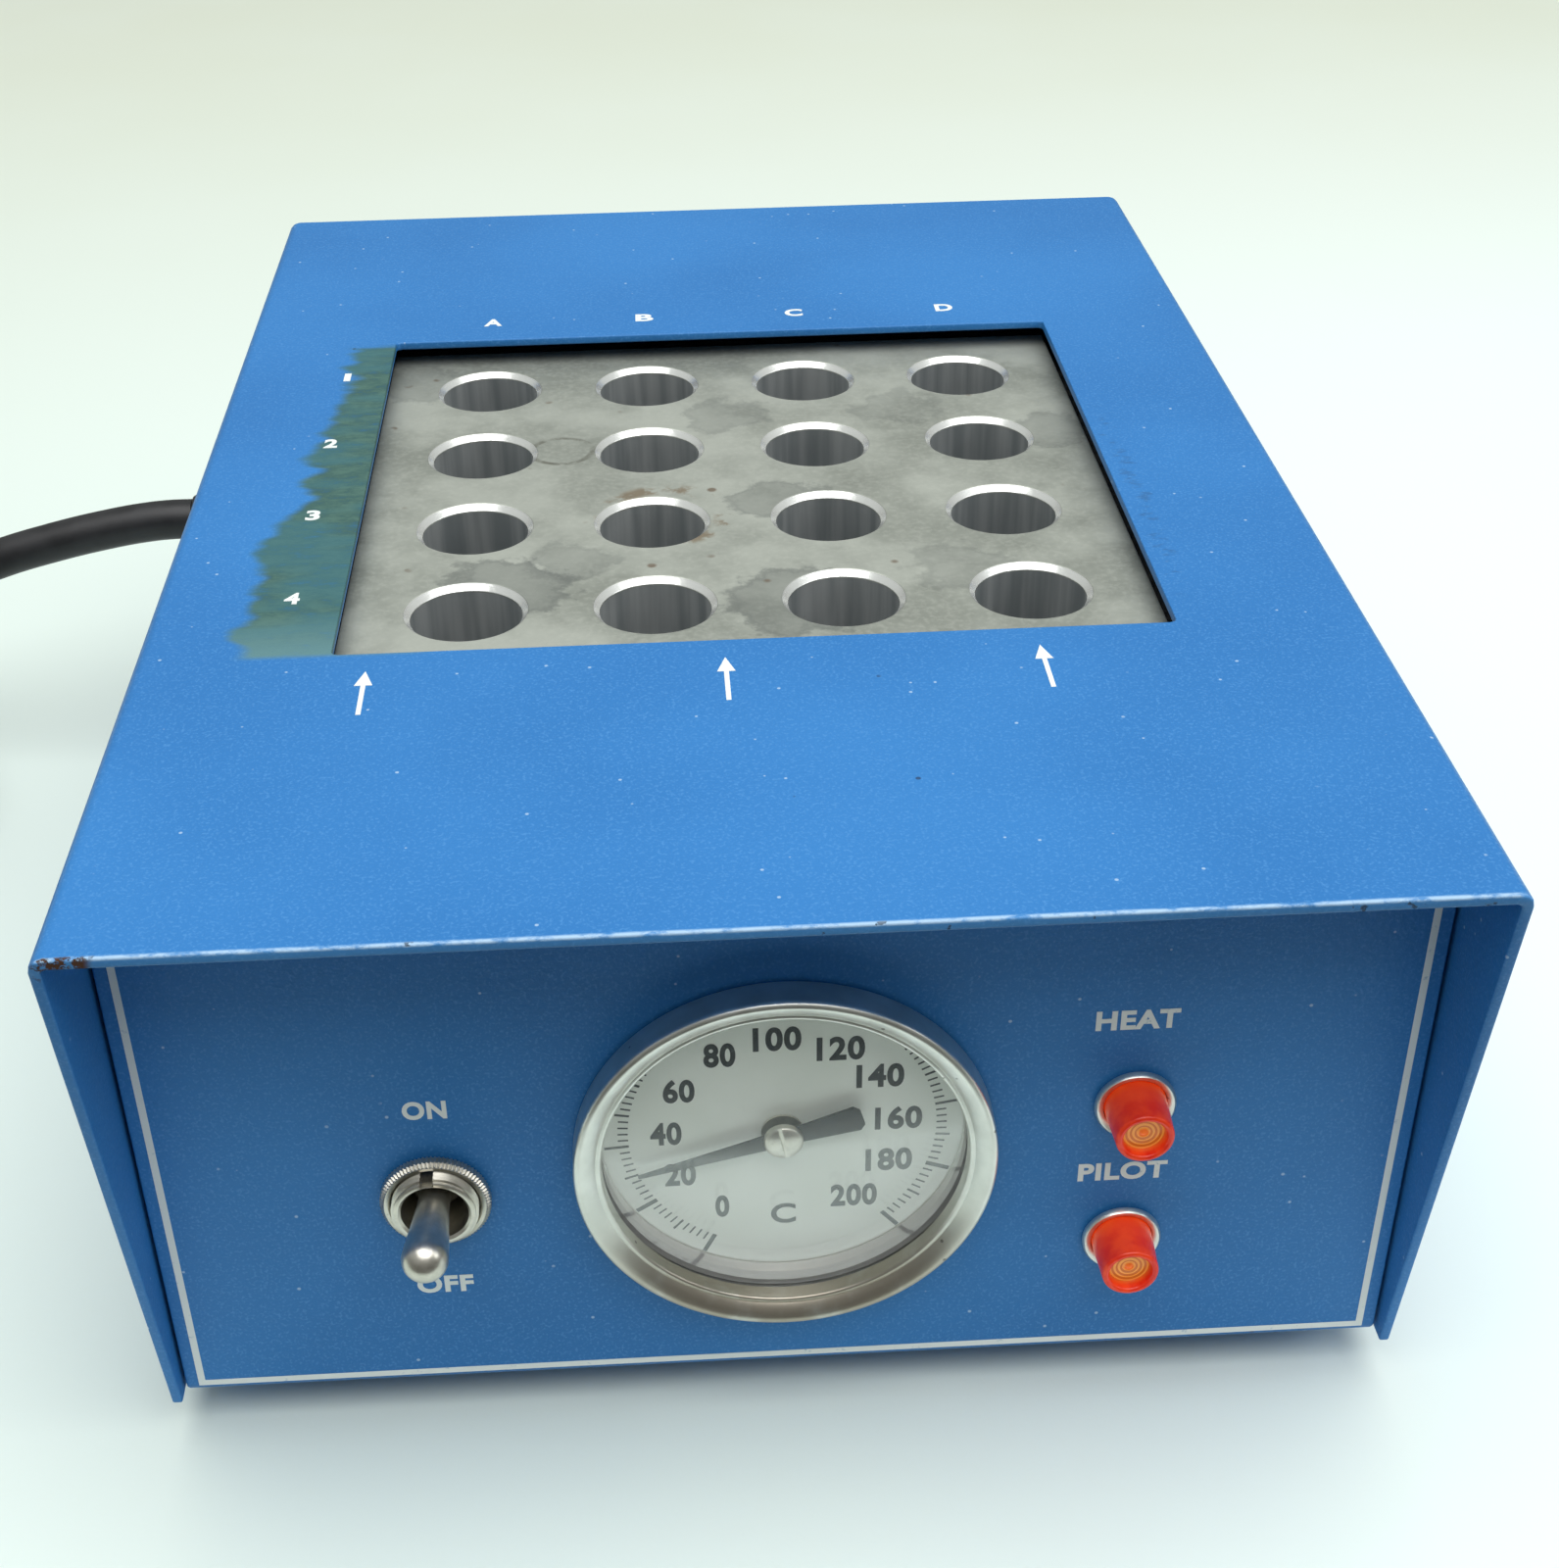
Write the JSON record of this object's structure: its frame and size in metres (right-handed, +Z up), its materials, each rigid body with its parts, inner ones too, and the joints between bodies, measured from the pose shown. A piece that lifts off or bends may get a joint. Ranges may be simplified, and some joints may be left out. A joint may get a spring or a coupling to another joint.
{
  "type": "dry block heater",
  "caption": "Bench heater for sample vials: aluminium well block under a window in a folded blue cover, with dial thermometer, toggle switch, lamps and mains cord.",
  "frame": {"origin": "on the bench plane under the feet, at the middle of the heater's width and depth, the free cord left out", "axes": "+X to the right as seen from the front, +Y to the rear, +Z up"},
  "size_m": [0.3563, 0.2656, 0.098],
  "materials": {
    "blue_paint": "satin paint with a fine texture",
    "black_rubber": "matt",
    "zinc_steel": "zinc plated",
    "stainless": "spun and polished",
    "aluminium": "machined, stained by use",
    "glass_fibre": "dark glass-fibre felt",
    "ceramic": "unglazed ceramic",
    "phenolic": "moulded phenolic",
    "brass": "drawn",
    "bimetal": "rolled strip",
    "glass": "clear flat glass",
    "dial_enamel": "satin white",
    "slate_paint": "satin dark grey",
    "nickel": "nickel plate",
    "red_lens": "translucent red",
    "cord_jacket": "satin black",
    "wire_sleeve": "braided sleeve"
  },
  "bodies": {
    "root": {"cover": "blue_paint", "chassis": "blue_paint", "foot_front_left": "black_rubber", "foot_front_right": "black_rubber", "foot_rear_left": "black_rubber", "foot_rear_right": "black_rubber", "strain_relief": "black_rubber", "foot_screw_front_left": "zinc_steel", "foot_screw_front_right": "zinc_steel", "foot_screw_rear_left": "zinc_steel", "foot_screw_rear_right": "zinc_steel", "cover_screw_front_left": "zinc_steel", "cover_screw_front_right": "zinc_steel", "cover_screw_rear_left": "zinc_steel", "cover_screw_rear_right": "zinc_steel", "block_bolt_front_left": "zinc_steel", "block_bolt_front_right": "zinc_steel", "block_bolt_rear_left": "zinc_steel", "block_bolt_rear_right": "zinc_steel", "cartridge_heater_left": "stainless", "cartridge_heater_right": "stainless", "thermometer_case": "stainless", "thermometer_bezel": "stainless", "thermometer_stem": "stainless", "heat_lamp_bezel": "stainless", "pilot_lamp_bezel": "stainless", "heater_block": "aluminium", "insulation_wrap": "glass_fibre", "insulation_pad": "glass_fibre", "block_post_front_left": "ceramic", "block_post_front_right": "ceramic", "block_post_rear_left": "ceramic", "block_post_rear_right": "ceramic", "thermostat_body": "phenolic", "switch_body": "phenolic", "heat_lamp_body": "phenolic", "pilot_lamp_body": "phenolic", "terminal_strip": "phenolic", "plug_blade_left": "brass", "plug_blade_right": "brass", "plug_ground_pin": "brass", "bimetal_coil": "bimetal", "thermometer_crystal": "glass", "dial_plate": "dial_enamel", "switch_bushing": "nickel", "switch_nut": "nickel", "heat_lamp_lens": "red_lens", "pilot_lamp_lens": "red_lens", "mains_lead": "cord_jacket", "cord_run": "cord_jacket", "cord_coil": "cord_jacket", "cord_tail": "cord_jacket", "plug_body": "cord_jacket", "switch_wire": "wire_sleeve", "heater_wire_left": "wire_sleeve", "heater_wire_right": "wire_sleeve"},
    "switch_lever": {"switch_lever": "nickel"},
    "pointer": {"pointer": "slate_paint", "pointer_spindle": "nickel"},
    "thermostat_spindle": {"thermostat_spindle": "brass"}
  },
  "joints": [
    {"name": "switch_toggle", "type": "hinge", "parent": "root", "child": "switch_lever", "pos_m": [-0.0476, -0.1105, 0.0431], "axis": [1, 0, 0], "range_deg": [0, 24]},
    {"name": "pointer_turn", "type": "hinge", "parent": "root", "child": "pointer", "pos_m": [0, -0.1142, 0.0488], "axis": [0, 1, 0], "range_deg": [-46, 245], "stiffness_Nm_per_rad": 0.001},
    {"name": "thermostat_turn", "type": "hinge", "parent": "root", "child": "thermostat_spindle", "pos_m": [0, 0.118, 0.062], "axis": [0, 1, 0], "range_deg": [0, 270]}
  ]
}
